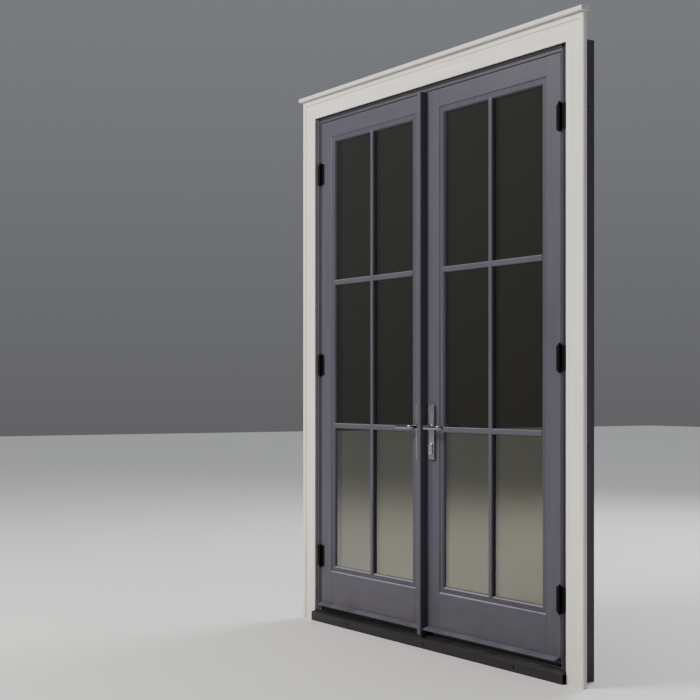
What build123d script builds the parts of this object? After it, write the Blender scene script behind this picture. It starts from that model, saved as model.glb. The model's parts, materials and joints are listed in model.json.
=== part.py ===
from build123d import *
import os

# Out-swinging pair of french doors in their frame, with the outside casing. Millimetres.
# +X is to the right seen from outside, +Y goes into the building, +Z is up.
# The origin is under the sill, midway between the jambs, in the plane of the wall's outer face.
# Both leaves are made as the right one and mirrored, apart from what only one of them carries.

# Leaves
leaf_width = 885.0
leaf_height = 2340.0
leaf_thickness = 44.0
leaf_set_back = 0.0
leaf_foot_height = 70.0
meeting_gap = 4.0
hinge_gap = 4.0
head_gap = 4.0
stile_width = 87.0
top_rail_height = 74.0
bottom_rail_height = 176.0
tenon_length = 40.0
tenon_thickness = 14.0
tenon_shoulder = 18.0
joint_clearance = 0.3

# Glazing
bead_width = 30.0
bead_cove = 5.0
bead_cove_depth = 4.0
bead_slope_start = 25.0
bead_toe = 2.0
pane_thickness = 4.0
unit_thickness = 20.0
glass_edge_gap = 3.0
spacer_width = 12.0
bar_width = 24.0
bar_chamfer = 3.0
lite_column_count = 2
lite_row_count = 3
block_length = 100.0
block_inset = 60.0

# Frame
jamb_depth = 116.0
side_jamb_width = 56.0
head_jamb_height = 44.0
stop_height = 13.0
seal_gap = 3.0
seal_clearance = 0.3
kerf_width = 3.0
kerf_depth = 8.0
seal_head_width = 8.0
fixing_hole_radius = 4.0
fixing_hole_inset = 28.0
fixing_hole_count = 4
fixing_hole_low = 250.0
fixing_hole_high = 214.0

# Sill
sill_top = 58.0
sill_nose_reach = 32.0
sill_nose_height = 44.0
sill_step_height = 52.0
sill_wall = 4.0
sill_cap_top = 84.0
sill_cap_fall = 8.0

# Casing
side_reveal = 42.0
head_reveal = 28.0
casing_width = 96.0
head_casing_width = 86.0
casing_thickness = 12.0
band_wrap = 8.0
band_lap = 16.0
band_proud = 6.0
band_cove = 4.0
drip_cap_reach = 36.0
drip_cap_height = 22.0
drip_cap_end = 10.0
drip_cap_fall = 6.0
drip_groove = 3.0

# Foot of the leaf
ledge_bottom = 8.0
ledge_height = 16.0
ledge_reach = 27.0
ledge_fall = 9.0
ledge_inset = 3.0
sweep_carrier = 3.0
sweep_fin = 2.0
sweep_clearance = 0.5
sweep_inset = 12.0

# Astragal and meeting seal, on the left leaf
astragal_width = 28.0
astragal_reach = 36.0
astragal_side_clearance = 1.0
astragal_drop = 12.0
astragal_round = 4.0
meeting_seal_thickness = 1.4
meeting_seal_width = 9.0
meeting_seal_inset = 8.0

# Hinges
hinge_height = 102.0
hinge_inset = 246.0
hinge_count = 3
knuckle_radius = 7.0
knuckle_count = 5
knuckle_gap = 0.4
pin_radius = 3.5
pin_clearance = 0.05
hinge_plate = 2.5
hinge_plate_reach = 38.0
barrel_stand_off = 1.5
finial_radius = 5.5
finial_tip_radius = 3.3
finial_height = 7.0

# Lock furniture
lever_height = 958.0
backset = 45.0
passive_backset = 50.0
plate_width = 38.0
plate_above = 99.0
plate_below = 141.0
outer_plate_thickness = 13.0
inner_plate_thickness = 9.0
plate_corner = 8.0
plate_edge = 2.5
lever_reach = 57.0
lever_length = 118.0
lever_bar_width = 18.0
lever_bar_thickness = 11.0
lever_bar_chamfer = 3.0
lever_neck_radius = 9.5
neck_tube_radius = 7.5
lever_bend = 16.0
lever_return = 20.0
rose_radius = 14.0
rose_height = 4.0
spindle_side = 8.0
lever_clearance = 0.3
hub_radius = 11.0
case_thickness = 16.0
case_wall = 2.0
case_depth = 68.0
case_above = 82.0
case_below = 112.0
passive_case_half = 38.0
faceplate_width = 20.0
faceplate_thickness = 3.0
groove_width = 12.0
rod_depth = 18.5
rod_side = 10.0
rod_tip_radius = 4.5
rod_tip_length = 30.0
rod_clearance = 0.5
bolt_throw = 22.0
keeper_thickness = 3.0
keeper_margin = 12.0
keeper_hole_clearance = 2.0
latch_width = 10.0
latch_height = 18.0
latch_length = 34.0
latch_above_lever = 52.0
latch_throw = 12.0
deadbolt_height = 24.0
deadbolt_length = 34.0
deadbolt_below_lever = 56.0
deadbolt_throw = 18.0
strike_pocket_clearance = 1.5
cylinder_below_lever = 85.0
cylinder_radius = 8.5
cylinder_web = 10.0
cylinder_drop = 24.5
cylinder_proud = 5.0
plug_radius = 5.5
cam_width = 9.0
cam_reach = 14.0
collar_width = 30.0
collar_height = 56.0
collar_thickness = 4.0
turn_width = 30.0
turn_height = 14.0
turn_length = 18.0
key_slot_width = 2.2
key_slot_height = 7.5
key_slot_depth = 12.0
plate_screw_radius = 2.5
plate_screw_inset = 14.0
plate_screw_head_radius = 4.5
plate_screw_head_height = 3.0
plate_screw_engagement = 6.3
plate_screw_bore = 7.3

# Places worked out from the sizes above
leaf_lock_x = meeting_gap / 2
leaf_hinge_x = leaf_lock_x + leaf_width
jamb_x = leaf_hinge_x + hinge_gap
leaf_front = leaf_set_back
leaf_back = leaf_front + leaf_thickness
leaf_middle = (leaf_front + leaf_back) / 2
leaf_foot = leaf_foot_height
leaf_top = leaf_foot + leaf_height
stop_front = leaf_back + seal_gap
stop_x = jamb_x - stop_height
head_under = leaf_top + head_gap
head_stop_under = head_under - stop_height
head_top = head_under + head_jamb_height
casing_inner_x = jamb_x + side_reveal
casing_outer_x = casing_inner_x + casing_width
casing_inner_z = head_under + head_reveal
casing_top = casing_inner_z + head_casing_width
band_outer_x = casing_outer_x + band_wrap
band_top = casing_top + band_wrap
band_face = -(casing_thickness + band_proud)
glass_front = leaf_middle - unit_thickness / 2
glass_back = leaf_middle + unit_thickness / 2
bead_thickness = glass_front - leaf_front
light_x0 = leaf_lock_x + stile_width
light_x1 = leaf_hinge_x - stile_width
light_z0 = leaf_foot + bottom_rail_height
light_z1 = leaf_top - top_rail_height
glass_x0 = light_x0 + glass_edge_gap
glass_x1 = light_x1 - glass_edge_gap
glass_z0 = light_z0 + glass_edge_gap
glass_z1 = light_z1 - glass_edge_gap
hinge_axis_x = leaf_hinge_x + hinge_gap / 2
hinge_axis_y = -(knuckle_radius + barrel_stand_off)
hinge_heights = [
    leaf_foot + hinge_inset + i * (leaf_height - 2 * hinge_inset) / (hinge_count - 1)
    for i in range(hinge_count)
]
fixing_hole_heights = [
    fixing_hole_low + i * (head_under - fixing_hole_high - fixing_hole_low) / (fixing_hole_count - 1)
    for i in range(fixing_hole_count)
]
cylinder_z = lever_height - cylinder_below_lever
latch_z = lever_height + latch_above_lever
deadbolt_z = lever_height - deadbolt_below_lever
groove_depth = rod_depth + rod_side + rod_clearance
rod_x = leaf_lock_x + rod_depth + rod_side / 2
outer_plate_face = leaf_front - outer_plate_thickness
inner_plate_face = leaf_back + inner_plate_thickness
plate_middle_z = lever_height + (plate_above - plate_below) / 2
plate_height = plate_above + plate_below
big = 4000.0


def block(x0, x1, y0, y1, z0, z1):
    """A box between two values on each axis."""
    centre = ((x0 + x1) / 2, (y0 + y1) / 2, (z0 + z1) / 2)
    return Pos(*centre) * Box(abs(x1 - x0), abs(y1 - y0), abs(z1 - z0))


def along_x(points, x0, x1):
    """A bar from x0 to x1 whose section is given as (y, z) points."""
    section = make_face(Polyline(*[(x0, y, z) for y, z in points], close=True))
    return extrude(section, amount=x1 - x0, dir=(1, 0, 0))


def along_z(points, z0, z1):
    """A bar from z0 to z1 whose section is given as (x, y) points."""
    section = make_face(Polyline(*[(x, y, z0) for x, y in points], close=True))
    return extrude(section, amount=z1 - z0, dir=(0, 0, 1))


def across_y(points, y0, y1):
    """A plate from y0 to y1 whose outline is given as (x, z) points."""
    outline = make_face(Polyline(*[(x, y0, z) for x, z in points], close=True))
    return extrude(outline, amount=y1 - y0, dir=(0, 1, 0))


def rod_y(x, z, radius, y0, y1):
    """A round bar along Y."""
    return Pos(x, (y0 + y1) / 2, z) * Rot(90, 0, 0) * Cylinder(radius, abs(y1 - y0))


def rod_z(x, y, radius, z0, z1):
    """A round bar along Z."""
    return Pos(x, y, (z0 + z1) / 2) * Cylinder(radius, z1 - z0)


def rod_along_x(y, z, radius, x0, x1):
    """A round bar along X."""
    return Pos((x0 + x1) / 2, y, z) * Rot(0, 90, 0) * Cylinder(radius, abs(x1 - x0))


def mirrored(shape):
    """The same piece for the left side."""
    return mirror(shape, about=Plane.YZ)


def solids(*shapes):
    """Separate pieces that share one node."""
    found = []
    for shape in shapes:
        found.extend(shape.solids())
    return Compound(children=[Solid(s.wrapped) for s in found])


# Frame

def fixing_holes():
    """Clearance holes through a side jamb for the screws into the wall."""
    y = jamb_depth - fixing_hole_inset
    outer = jamb_x + side_jamb_width
    holes = [
        rod_along_x(y, z, fixing_hole_radius, stop_x - 1, outer + 1)
        for z in fixing_hole_heights
    ]
    return holes


def side_jamb():
    outer = jamb_x + side_jamb_width
    profile = [
        (jamb_x, 0), (outer, 0), (outer, jamb_depth),
        (stop_x, jamb_depth), (stop_x, stop_front), (jamb_x, stop_front),
    ]
    jamb = along_z(profile, 0, head_under)
    kerf_x = (stop_x + jamb_x) / 2
    jamb -= block(kerf_x - kerf_width / 2, kerf_x + kerf_width / 2,
                  stop_front, stop_front + kerf_depth, sill_cap_top, head_under)
    for hole in fixing_holes():
        jamb -= hole
    for z in hinge_heights:
        jamb -= frame_plate(z, joint_clearance)
    return jamb


def head_jamb():
    outer = jamb_x + side_jamb_width
    jamb = block(-outer, outer, 0, jamb_depth, head_under, head_top)
    jamb += block(-stop_x, stop_x, stop_front, jamb_depth, head_stop_under, head_under)
    kerf_z = (head_under + head_stop_under) / 2
    jamb -= block(-stop_x, stop_x, stop_front, stop_front + kerf_depth,
                  kerf_z - kerf_width / 2, kerf_z + kerf_width / 2)
    for x in (-rod_x, rod_x):
        jamb -= keeper_outline(x, head_under, head_under + keeper_thickness)
        jamb -= rod_z(x, leaf_middle, rod_tip_radius + keeper_hole_clearance,
                      head_under, head_under + bolt_throw)
    return jamb


def keeper_outline(x, z0, z1):
    reach = rod_tip_radius + keeper_hole_clearance + keeper_margin
    return block(x - reach, x + reach, leaf_middle - groove_width, leaf_middle + groove_width, z0, z1)


def head_keepers():
    """One plate with a round hole for each leaf's top bolt."""
    plates = []
    for x in (-rod_x, rod_x):
        plate = keeper_outline(x, head_under, head_under + keeper_thickness)
        plate -= rod_z(x, leaf_middle, rod_tip_radius + keeper_hole_clearance / 2,
                       head_under - 1, head_under + keeper_thickness + 1)
        plates.append(plate)
    return solids(*plates)


def sill():
    """Hollow extrusion with a stepped nose that runs out between the casings."""
    front = -sill_nose_reach
    profile = [
        (0, 0), (0, sill_step_height), (leaf_front + sill_wall, sill_top),
        (stop_front, sill_top), (stop_front, 0),
    ]
    body = along_x(profile, -jamb_x, jamb_x)
    nose_profile = [
        (front, 0), (front, sill_nose_height - sill_wall),
        (front + sill_wall, sill_nose_height), (0, sill_step_height), (0, 0),
    ]
    nose_end = casing_inner_x - joint_clearance
    body += along_x(nose_profile, -nose_end, nose_end)
    body += block(-stop_x, stop_x, stop_front, jamb_depth, 0, sill_top)
    chambers = [
        (front + sill_wall, 0 - sill_wall / 2, sill_nose_height - 2 * sill_wall),
        (sill_wall / 2, stop_front - sill_wall, sill_step_height - sill_wall),
        (stop_front, jamb_depth - sill_wall, sill_top - sill_wall),
    ]
    for y0, y1, top in chambers:
        body -= block(-big, big, y0, y1, sill_wall, top)
    for x in (-rod_x, rod_x):
        body -= rod_z(x, leaf_middle, rod_tip_radius + keeper_hole_clearance, sill_wall, sill_top + 1)
    return body


def sill_cap():
    """Raised inner part that the leaves close against."""
    profile = [
        (stop_front, sill_top), (stop_front, sill_cap_top), (stop_front + stop_height, sill_cap_top),
        (jamb_depth, sill_cap_top - sill_cap_fall), (jamb_depth, sill_top),
    ]
    cap = along_x(profile, -stop_x, stop_x)
    kerf_z = (sill_cap_top + leaf_foot) / 2
    cap -= block(-stop_x, stop_x, stop_front, stop_front + kerf_depth,
                 kerf_z - kerf_width / 2, kerf_z + kerf_width / 2)
    return cap


def seal_profile(centre):
    """Section of the bulb seal as (across, into the kerf) points, from the leaf to the kerf's end."""
    half = seal_head_width / 2
    fin = kerf_width / 2 - joint_clearance
    rise = seal_gap - seal_clearance
    return [
        (centre - half, stop_front), (centre - half * 0.75, stop_front - rise * 0.8),
        (centre, stop_front - rise), (centre + half * 0.75, stop_front - rise * 0.8),
        (centre + half, stop_front), (centre + fin, stop_front),
        (centre + fin, stop_front + kerf_depth - 1), (centre - fin, stop_front + kerf_depth - 1),
        (centre - fin, stop_front),
    ]


def frame_seals():
    """Bulb seals in the kerfs of both side jambs and the head."""
    side_centre = (stop_x + jamb_x) / 2
    side = along_z(seal_profile(side_centre), sill_cap_top, head_stop_under - joint_clearance)
    head_centre = (head_under + head_stop_under) / 2
    head_section = [(y, z) for z, y in seal_profile(head_centre)]
    head = along_x(head_section, -stop_x, stop_x)
    return solids(side, mirrored(side), head)


def sill_seal():
    """Bulb seal in the front of the sill cap."""
    section = [(y, z) for z, y in seal_profile((sill_cap_top + leaf_foot) / 2)]
    return along_x(section, -stop_x, stop_x)


# Casing

def side_casing():
    return block(casing_inner_x, casing_outer_x, -casing_thickness, 0, 0, casing_inner_z)


def head_casing():
    return block(-casing_outer_x, casing_outer_x, -casing_thickness, 0, casing_inner_z, casing_top)


def band_section():
    """Section of the back band as (outwards, into the wall) points, measured from the casing's edge."""
    return [
        (-band_lap, -casing_thickness), (-band_lap, -casing_thickness - band_proud / 3),
        (-band_lap + band_cove, band_face), (band_wrap - band_cove, band_face),
        (band_wrap, band_face + band_cove), (band_wrap, 0), (0, 0), (0, -casing_thickness),
    ]


def side_band():
    section = [(casing_outer_x + u, y) for u, y in band_section()]
    bar = along_z(section, 0, band_top)
    low = casing_outer_x - band_lap
    mitre_low = casing_top - band_lap
    wedge = across_y([(low, 0), (band_outer_x, 0), (band_outer_x, band_top), (low, mitre_low)],
                     band_face, 0)
    return bar & wedge


def head_band():
    section = [(y, casing_top + u) for u, y in band_section()]
    bar = along_x(section, -band_outer_x, band_outer_x)
    low = casing_top - band_lap
    inner = casing_outer_x - band_lap
    wedge = across_y([(-inner, low), (inner, low), (band_outer_x, band_top), (-band_outer_x, band_top)],
                     band_face, 0)
    return bar & wedge


def drip_cap():
    """Sloped cap on the head band with a groove that throws water clear."""
    front = -drip_cap_reach
    top = band_top + drip_cap_height
    profile = [
        (0, band_top), (band_face - drip_groove, band_top),
        (band_face - drip_groove, band_top + drip_groove),
        (band_face - 2 * drip_groove, band_top + drip_groove), (band_face - 2 * drip_groove, band_top),
        (front, band_top), (front, top - drip_cap_fall), (-drip_cap_fall, top), (0, top),
    ]
    return along_x(profile, -band_outer_x - drip_cap_end, band_outer_x + drip_cap_end)


# Hinges

def knuckle_range(z, index):
    pitch = hinge_height / knuckle_count
    low = z - hinge_height / 2 + index * pitch
    return low + knuckle_gap / 2, low + pitch - knuckle_gap / 2


def hinge_half(z, indices, plate):
    """One half of a butt hinge: its plate, with its own knuckles and room for the other half's."""
    half = plate
    for index in range(knuckle_count):
        low, high = knuckle_range(z, index)
        if index in indices:
            half += rod_z(hinge_axis_x, hinge_axis_y, knuckle_radius, low, high)
        else:
            half -= rod_z(hinge_axis_x, hinge_axis_y, knuckle_radius + knuckle_gap,
                          low - knuckle_gap, high + knuckle_gap)
    half -= rod_z(hinge_axis_x, hinge_axis_y, pin_radius + pin_clearance,
                  z - hinge_height, z + hinge_height)
    return half


def frame_plate(z, clearance=0.0):
    """The plate let into the jamb, or its mortise when a clearance is given."""
    half_height = hinge_height / 2 - knuckle_gap / 2 + clearance
    return block(jamb_x, jamb_x + hinge_plate, hinge_axis_y, hinge_plate_reach + clearance,
                 z - half_height, z + half_height)


def leaf_plate(z, clearance=0.0):
    """The plate let into the leaf's edge, or its mortise when a clearance is given."""
    half_height = hinge_height / 2 - knuckle_gap / 2 + clearance
    return block(leaf_hinge_x - hinge_plate, leaf_hinge_x, hinge_axis_y,
                 hinge_plate_reach + clearance, z - half_height, z + half_height)


def frame_hinges():
    return solids(*[hinge_half(z, range(0, knuckle_count, 2), frame_plate(z)) for z in hinge_heights])


def leaf_hinges():
    return solids(*[hinge_half(z, range(1, knuckle_count, 2), leaf_plate(z)) for z in hinge_heights])


def hinge_pins():
    """Pins with a tapered finial above and below the barrel."""
    pins = []
    half = hinge_height / 2
    for z in hinge_heights:
        outline = Polyline(
            (0, -half - finial_height), (finial_tip_radius, -half - finial_height),
            (finial_radius, -half), (pin_radius, -half), (pin_radius, half), (finial_radius, half),
            (finial_tip_radius, half + finial_height), (0, half + finial_height), close=True)
        face = Plane.XZ * make_face(outline)
        pins.append(Pos(hinge_axis_x, hinge_axis_y, z) * revolve(face, axis=Axis.Z))
    return solids(*pins)


# Leaf

def tenon(x0, x1, z0, z1, clearance=0.0):
    half = tenon_thickness / 2 + clearance
    return block(x0, x1, leaf_middle - half, leaf_middle + half,
                 z0 + tenon_shoulder - clearance, z1 - tenon_shoulder + clearance)


def rail(z0, z1):
    """A rail with a tenon at each end."""
    bar = block(light_x0, light_x1, leaf_front, leaf_back, z0, z1)
    return bar + tenon(light_x0 - tenon_length, light_x1 + tenon_length, z0, z1)


def mortises():
    """Pockets for the rails' tenons in both stiles."""
    reach = tenon_length + joint_clearance
    low = (leaf_foot, light_z0)
    high = (light_z1, leaf_top)
    return [tenon(light_x0 - reach, light_x1 + reach, z0, z1, joint_clearance) for z0, z1 in (low, high)]


def hinge_stile():
    stile = block(light_x1, leaf_hinge_x, leaf_front, leaf_back, leaf_foot, leaf_top)
    for pocket in mortises():
        stile -= pocket
    for z in hinge_heights:
        stile -= leaf_plate(z, joint_clearance)
    return stile


def edge_box(depth0, depth1, width, z0, z1):
    """A box inside the lock stile, placed by its depth behind the meeting edge."""
    return block(leaf_lock_x + depth0, leaf_lock_x + depth1,
                 leaf_middle - width / 2, leaf_middle + width / 2, z0, z1)


def lock_stile(passive):
    """The meeting stile, with the edge groove, the lock's mortise and the holes for the furniture."""
    stile = block(leaf_lock_x, light_x0, leaf_front, leaf_back, leaf_foot, leaf_top)
    for pocket in mortises():
        stile -= pocket
    stile -= edge_box(-1, faceplate_thickness, faceplate_width + 2 * joint_clearance,
                      leaf_foot - 1, leaf_top + 1)
    stile -= edge_box(0, groove_depth, groove_width, leaf_foot - 1, leaf_top + 1)
    above, below = case_limits(passive)
    stile -= edge_box(0, faceplate_thickness + case_depth + joint_clearance,
                      case_thickness + 2 * joint_clearance,
                      lever_height - below - joint_clearance, lever_height + above + joint_clearance)
    axis_x = leaf_lock_x + lever_backset(passive)
    stile -= rod_y(axis_x, lever_height, neck_tube_radius + joint_clearance, leaf_front - 1, leaf_back + 1)
    for z in plate_screw_heights():
        stile -= rod_y(axis_x, z, plate_screw_radius + joint_clearance, leaf_front - 1, leaf_back + 1)
    if not passive:
        stile -= cylinder_outline(leaf_front - 1, leaf_back + 1, joint_clearance)
    return stile


def trapezoid_bar(profile, length, width):
    """A mitred bead along X from the origin: (up, back) points, 45 degree ends."""
    bar = along_x([(v, u) for u, v in profile], 0, length)
    ends = across_y([(0, 0), (length, 0), (length - width, width), (width, width)], -big, big)
    return bar & ends


def bead_profile():
    """Section of the bead: distance towards the glass, depth behind the leaf's face."""
    return [
        (0, 0), (bead_cove, bead_cove_depth), (bead_slope_start, bead_cove_depth),
        (bead_width, bead_thickness - bead_toe), (bead_width, bead_thickness), (0, bead_thickness),
    ]


def outer_beads():
    """Four mitred beads in front of the glass."""
    across = light_x1 - light_x0
    up = light_z1 - light_z0
    long_bar = trapezoid_bar(bead_profile(), up, bead_width)
    short_bar = trapezoid_bar(bead_profile(), across, bead_width)
    return [
        Pos(light_x0, leaf_front, light_z0) * short_bar,
        Pos(light_x1, leaf_front, light_z1) * Rot(0, 180, 0) * short_bar,
        Pos(light_x1, leaf_front, light_z0) * Rot(0, -90, 0) * long_bar,
        Pos(light_x0, leaf_front, light_z1) * Rot(0, 90, 0) * long_bar,
    ]


def to_inside(shape):
    """The same piece on the room side of the glass."""
    return mirror(shape, about=Plane.XZ.offset(-leaf_middle))


def bar_section(centre):
    """Section of a glazing bar as (across, depth) points."""
    half = bar_width / 2
    return [
        (centre - half, glass_front), (centre - half, leaf_front + bar_chamfer),
        (centre - half + bar_chamfer, leaf_front), (centre + half - bar_chamfer, leaf_front),
        (centre + half, leaf_front + bar_chamfer), (centre + half, glass_front),
    ]


def lite_lines(low, high, count):
    """Centres of the bars that part the clear glass into equal lites."""
    first = low + bead_width
    clear = high - low - 2 * bead_width - (count - 1) * bar_width
    lite = clear / count
    return [first + (i + 1) * lite + (i + 0.5) * bar_width for i in range(count - 1)]


def outer_bars(beads):
    """Upright bars in one length, cross bars cut between them, all coped over the beads."""
    uprights = []
    for x in lite_lines(light_x0, light_x1, lite_column_count):
        bar = along_z(bar_section(x), light_z0 + bead_cove, light_z1 - bead_cove)
        uprights.append(bar)
    columns = [light_x0 + bead_cove]
    columns += lite_lines(light_x0, light_x1, lite_column_count)
    columns.append(light_x1 - bead_cove)
    cross_bars = []
    for z in lite_lines(light_z0, light_z1, lite_row_count):
        section = [(y, h) for h, y in bar_section(z)]
        for x0, x1 in zip(columns[:-1], columns[1:]):
            cross_bars.append(along_x(section, x0, x1))
    fitted = []
    for bar in uprights:
        for bead in beads:
            bar -= bead
        fitted.append(bar)
    for bar in cross_bars:
        for other in beads + uprights:
            bar -= other
        fitted.append(bar)
    return fitted


def outer_pane():
    return block(glass_x0, glass_x1, glass_front, glass_front + pane_thickness, glass_z0, glass_z1)


def inner_pane():
    return block(glass_x0, glass_x1, glass_back - pane_thickness, glass_back, glass_z0, glass_z1)


def spacer():
    """The metal frame between the panes."""
    y0 = glass_front + pane_thickness
    y1 = glass_back - pane_thickness
    ring = block(glass_x0, glass_x1, y0, y1, glass_z0, glass_z1)
    return ring - block(glass_x0 + spacer_width, glass_x1 - spacer_width, y0 - 1, y1 + 1,
                        glass_z0 + spacer_width, glass_z1 - spacer_width)


def setting_blocks():
    """Two blocks on the bottom rail that carry the glass."""
    starts = (glass_x0 + block_inset, glass_x1 - block_inset - block_length)
    return solids(*[block(x, x + block_length, glass_front, glass_back, light_z0, glass_z0)
                    for x in starts])


def drip_ledge(lock_end):
    low = leaf_foot + ledge_bottom
    high = low + ledge_height
    front = leaf_front - ledge_reach
    lip = ledge_fall / 3
    profile = [
        (leaf_front, low), (leaf_front, high), (leaf_front - lip, high), (front, high - ledge_fall),
        (front, low + lip), (front + lip, low), (front + 2 * lip, low), (front + 2 * lip, low + lip),
        (front + 3 * lip, low + lip), (front + 3 * lip, low),
    ]
    return along_x(profile, lock_end, leaf_hinge_x - ledge_inset)


def sweep_seal():
    """Carrier under the leaf with two fins that brush the sill."""
    low = sill_top + sweep_clearance
    y0 = leaf_front + 2 * sweep_fin
    y1 = leaf_back - 2 * sweep_fin
    middle = leaf_foot - sweep_carrier
    profile = [
        (y0, leaf_foot), (y0, low), (y0 + sweep_fin, low), (y0 + 2 * sweep_fin, middle),
        (y1 - 2 * sweep_fin, middle), (y1 - sweep_fin, low), (y1, low), (y1, leaf_foot),
    ]
    return along_x(profile, leaf_lock_x + groove_depth + sweep_inset, leaf_hinge_x - sweep_inset)


# Astragal, carried by the left leaf, so its X values are negative

def astragal():
    right = -astragal_side_clearance
    left = right - astragal_width
    front = leaf_front - astragal_reach
    r = astragal_round
    profile = [
        (left, leaf_front), (left, front + r), (left + r, front), (right - r, front),
        (right, front + r), (right, leaf_front),
    ]
    strip = along_z(profile, leaf_foot - astragal_drop, leaf_top)
    return strip


def meeting_seal():
    """Low rubber seal in the faceplate side of the gap, clear of the other leaf's sweep."""
    edge = -leaf_lock_x
    y0 = leaf_front + meeting_seal_inset / 4
    y1 = y0 + meeting_seal_width
    nose = edge + meeting_seal_thickness
    profile = [(edge, y0), (nose, y0 + meeting_seal_width / 4), (nose, y1 - meeting_seal_width / 4), (edge, y1)]
    return along_z(profile, leaf_foot, leaf_top)


# Lock

def case_limits(passive):
    if passive:
        return passive_case_half, passive_case_half
    return case_above, case_below


def lever_backset(passive):
    return passive_backset if passive else backset


def plate_screw_heights():
    return (lever_height + plate_above - plate_screw_inset, lever_height - plate_below + plate_screw_inset)


def cylinder_outline(y0, y1, clearance):
    """Keyhole-shaped body of the cylinder, or the hole for it."""
    x = leaf_lock_x + backset
    radius = cylinder_radius + clearance
    web = cylinder_web / 2 + clearance
    body = rod_y(x, cylinder_z, radius, y0, y1)
    low = cylinder_z - cylinder_drop + web
    body += block(x - web, x + web, y0, y1, low, cylinder_z)
    return body + rod_y(x, low, web, y0, y1)


def lock_case(passive):
    """Folded steel case: hollow, open at the front for the bolts, bored for the follower."""
    above, below = case_limits(passive)
    z0 = lever_height - below
    z1 = lever_height + above
    d0 = faceplate_thickness
    d1 = faceplate_thickness + case_depth
    case = edge_box(d0, d1, case_thickness, z0, z1)
    case -= edge_box(d0 + case_wall, d1 - case_wall, case_thickness - 2 * case_wall,
                     z0 + case_wall, z1 - case_wall)
    x = leaf_lock_x + lever_backset(passive)
    case -= rod_y(x, lever_height, spindle_side * 0.75 + joint_clearance, leaf_front, leaf_back)
    if not passive:
        case -= cylinder_outline(leaf_front, leaf_back, joint_clearance)
        case -= edge_box(0, d0 + case_wall + 1, latch_width + 2 * joint_clearance,
                         latch_z - latch_height / 2 - joint_clearance,
                         latch_z + latch_height / 2 + joint_clearance)
        case -= edge_box(0, d0 + case_wall + 1, latch_width + 2 * joint_clearance,
                         deadbolt_z - deadbolt_height / 2 - joint_clearance,
                         deadbolt_z + deadbolt_height / 2 + joint_clearance)
    return case


def faceplate():
    """Full-height strip in the leaf's edge, with the two bolt windows that both leaves have."""
    plate = edge_box(0, faceplate_thickness, faceplate_width, leaf_foot, leaf_top)
    for z, height in ((latch_z, latch_height), (deadbolt_z, deadbolt_height)):
        half = height / 2 + strike_pocket_clearance / 2
        plate -= edge_box(-1, faceplate_thickness + 1, latch_width + strike_pocket_clearance,
                          z - half, z + half)
    return plate


def latch_bolt():
    """Bevelled latch, drawn back flush with the faceplate."""
    x0 = leaf_lock_x + joint_clearance
    x1 = x0 + latch_length
    half = latch_width / 2
    bevel = latch_width * 0.6
    outline = [
        (x0, leaf_middle + half), (x0 + bevel, leaf_middle - half), (x1, leaf_middle - half),
        (x1, leaf_middle + half),
    ]
    return along_z(outline, latch_z - latch_height / 2, latch_z + latch_height / 2)


def deadbolt():
    x0 = leaf_lock_x + joint_clearance
    half_y = latch_width / 2
    half_z = deadbolt_height / 2
    bolt = block(x0, x0 + deadbolt_length, leaf_middle - half_y, leaf_middle + half_y,
                 deadbolt_z - half_z, deadbolt_z + half_z)
    return chamfer(bolt.edges().filter_by(Axis.Y).group_by(Axis.X)[0], bar_chamfer / 2)


def shoot_rod(z_case, z_end, passive):
    """A square rod in the edge groove with a round tip, drawn back into the leaf."""
    lift = 1 if z_end > z_case else -1
    start = z_case + lift * (joint_clearance + 0.5)
    shoulder = z_end - lift * rod_tip_length
    side = rod_side
    rod = edge_box(rod_depth, rod_depth + side, side, min(start, shoulder), max(start, shoulder))
    tip = rod_z(rod_x, leaf_middle, rod_tip_radius, min(shoulder, z_end), max(shoulder, z_end))
    return rod + tip


def top_rod(passive):
    above, _ = case_limits(passive)
    return shoot_rod(lever_height + above, leaf_top - rod_clearance, passive)


def bottom_rod(passive):
    _, below = case_limits(passive)
    return shoot_rod(lever_height - below, leaf_foot + rod_clearance, passive)


def rounded_plate(x, y_back, thickness, outward):
    """Long plate with rounded corners, softened on its outer edge."""
    outline = Plane.XZ * RectangleRounded(plate_width, plate_height, plate_corner)
    plate = extrude(outline, amount=thickness, dir=(0, outward, 0))
    rim = plate.faces().sort_by(Axis.Y)[0 if outward < 0 else -1].edges()
    plate = chamfer(rim, plate_edge)
    return Pos(x, y_back, plate_middle_z) * plate


def furniture_plate(passive, inside):
    """Outer or inner plate with its holes."""
    x = leaf_lock_x + lever_backset(passive)
    if inside:
        plate = rounded_plate(x, leaf_back, inner_plate_thickness, 1)
        y0, y1 = leaf_back - 1, inner_plate_face + 1
    else:
        plate = rounded_plate(x, leaf_front, outer_plate_thickness, -1)
        y0, y1 = outer_plate_face - 1, leaf_front + 1
    plate -= rod_y(x, lever_height, lever_neck_radius + lever_clearance, y0, y1)
    for z in plate_screw_heights():
        if inside:
            plate -= rod_y(x, z, plate_screw_radius + joint_clearance, y0, y1)
        else:
            plate -= rod_y(x, z, plate_screw_radius + joint_clearance, leaf_front - plate_screw_bore, y1)
    if not passive:
        plate -= cylinder_outline(y0, y1, joint_clearance)
    return plate


def plate_screws(passive):
    """Through screws from the inner plate into the outer one."""
    x = leaf_lock_x + lever_backset(passive)
    screws = []
    for z in plate_screw_heights():
        screw = rod_y(x, z, plate_screw_radius, leaf_front - plate_screw_engagement, inner_plate_face)
        screw += rod_y(x, z, plate_screw_head_radius, inner_plate_face,
                       inner_plate_face + plate_screw_head_height)
        screws.append(screw)
    return solids(*screws)


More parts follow.
